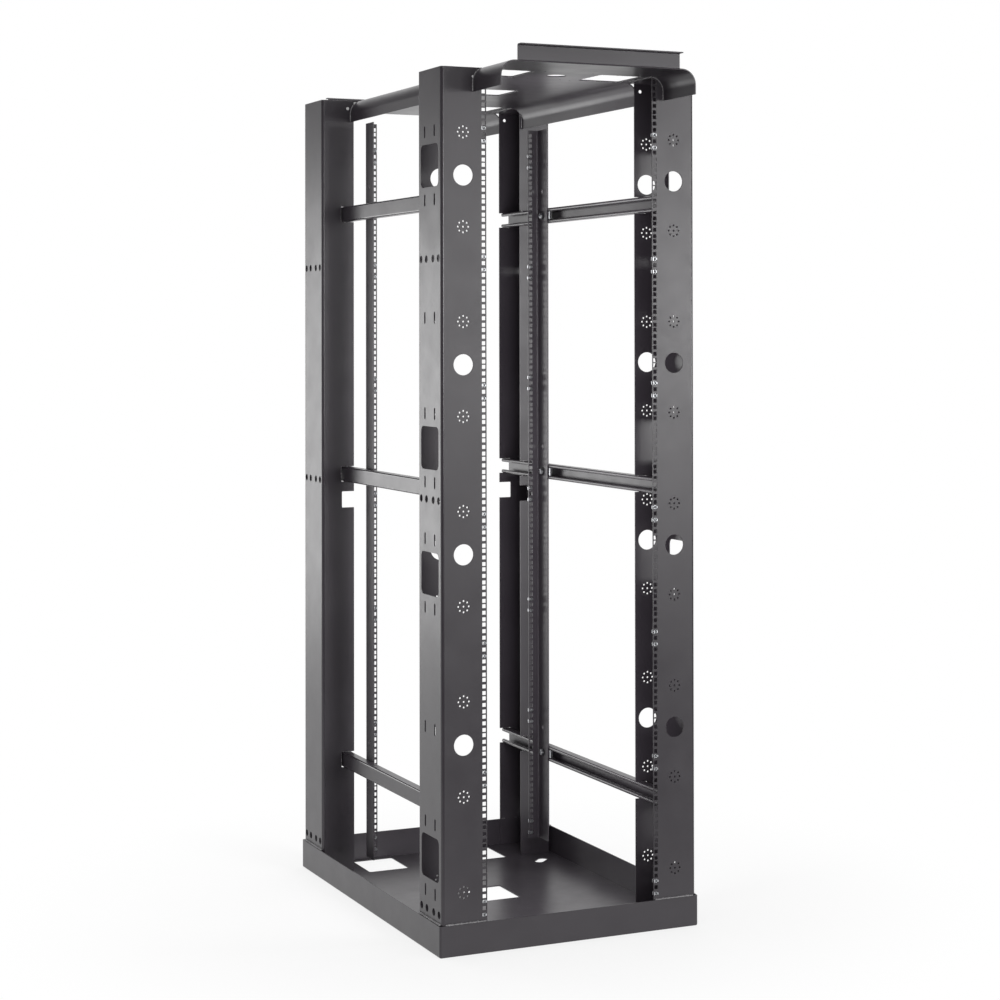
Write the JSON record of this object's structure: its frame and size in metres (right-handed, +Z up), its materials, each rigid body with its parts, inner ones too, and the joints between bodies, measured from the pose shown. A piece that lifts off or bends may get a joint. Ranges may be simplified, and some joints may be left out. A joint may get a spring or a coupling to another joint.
{
  "type": "four post open frame rack",
  "caption": "Tall open frame rack: two wide punched front posts, two rear posts, base tray, top pan, side rails and adjustable rear mounting rails with square holes.",
  "frame": {"origin": "on the floor below the middle of the rack", "axes": "+Z up, the front with the wide punched posts faces -Y, +X to the right seen from the front"},
  "size_m": [0.6984, 1.4114, 2.1774],
  "materials": {
    "black_steel": "satin black powder coat",
    "zinc": "zinc plated steel"
  },
  "bodies": {
    "root": {"base_tray": "black_steel", "top_pan": "black_steel", "front_left_post": "black_steel", "front_right_post": "black_steel", "rear_left_post": "black_steel", "rear_right_post": "black_steel", "rear_left_mounting_rail": "black_steel", "rear_right_mounting_rail": "black_steel", "left_side_rail_low": "black_steel", "right_side_rail_low": "black_steel", "left_side_rail_middle": "black_steel", "right_side_rail_middle": "black_steel", "left_side_rail_high": "black_steel", "right_side_rail_high": "black_steel", "front_left_cage_nuts": "zinc", "front_right_cage_nuts": "zinc", "rear_left_cage_nuts": "zinc", "rear_right_cage_nuts": "zinc", "left_strut_nuts": "zinc", "right_strut_nuts": "zinc"}
  },
  "joints": []
}
